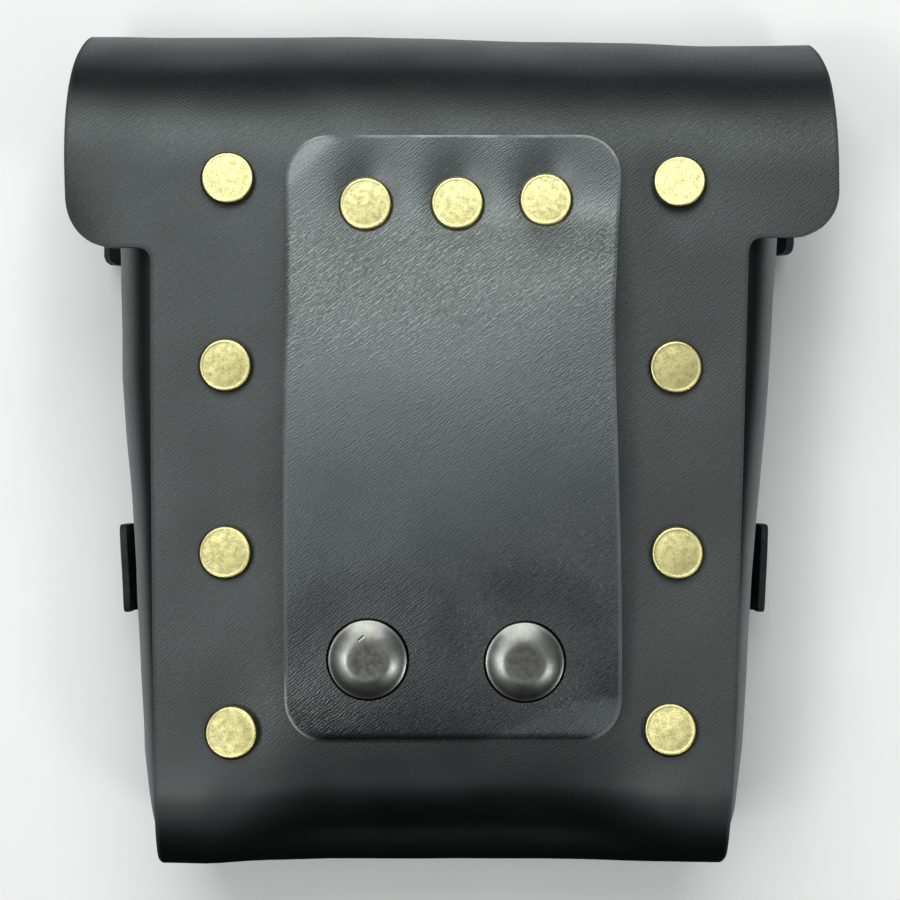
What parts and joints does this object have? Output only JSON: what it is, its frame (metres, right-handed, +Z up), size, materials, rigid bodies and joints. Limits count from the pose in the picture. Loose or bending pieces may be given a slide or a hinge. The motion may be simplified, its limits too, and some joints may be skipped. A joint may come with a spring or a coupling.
{
  "type": "tool belt pouch",
  "caption": "Black leather belt pouch with bulged side walls, a winged flap tucked under a front strap, and a riveted and snapped loop on its back for a belt.",
  "frame": {"origin": "middle of the outline on the surface that the pouch lies on, front down", "axes": "+X to the right as seen from behind, +Y to the pouch's top, +Z up out of its back"},
  "size_m": [0.146, 0.1637, 0.0615],
  "materials": {
    "black_leather": "full-grain black leather with a fine diagonal grain and pale worn edges",
    "antique_brass": "antique brass with a mottled patina",
    "gunmetal": "dark gunmetal plating worn bright at the rims"
  },
  "bodies": {
    "root": {"shell": "black_leather", "gusset_left": "black_leather", "gusset_right": "black_leather", "belt_loop": "black_leather", "front_strap": "black_leather", "back_rivet_left_1": "antique_brass", "back_rivet_left_2": "antique_brass", "back_rivet_left_3": "antique_brass", "back_rivet_left_4": "antique_brass", "back_rivet_right_1": "antique_brass", "back_rivet_right_2": "antique_brass", "back_rivet_right_3": "antique_brass", "back_rivet_right_4": "antique_brass", "front_rivet_left_1": "antique_brass", "front_rivet_left_2": "antique_brass", "front_rivet_left_3": "antique_brass", "front_rivet_left_4": "antique_brass", "front_rivet_right_1": "antique_brass", "front_rivet_right_2": "antique_brass", "front_rivet_right_3": "antique_brass", "front_rivet_right_4": "antique_brass", "loop_rivet_left": "antique_brass", "loop_rivet_mid": "antique_brass", "loop_rivet_right": "antique_brass", "snap_cap_left": "gunmetal", "snap_cap_right": "gunmetal", "snap_stud_left": "gunmetal", "snap_stud_right": "gunmetal"}
  },
  "joints": []
}
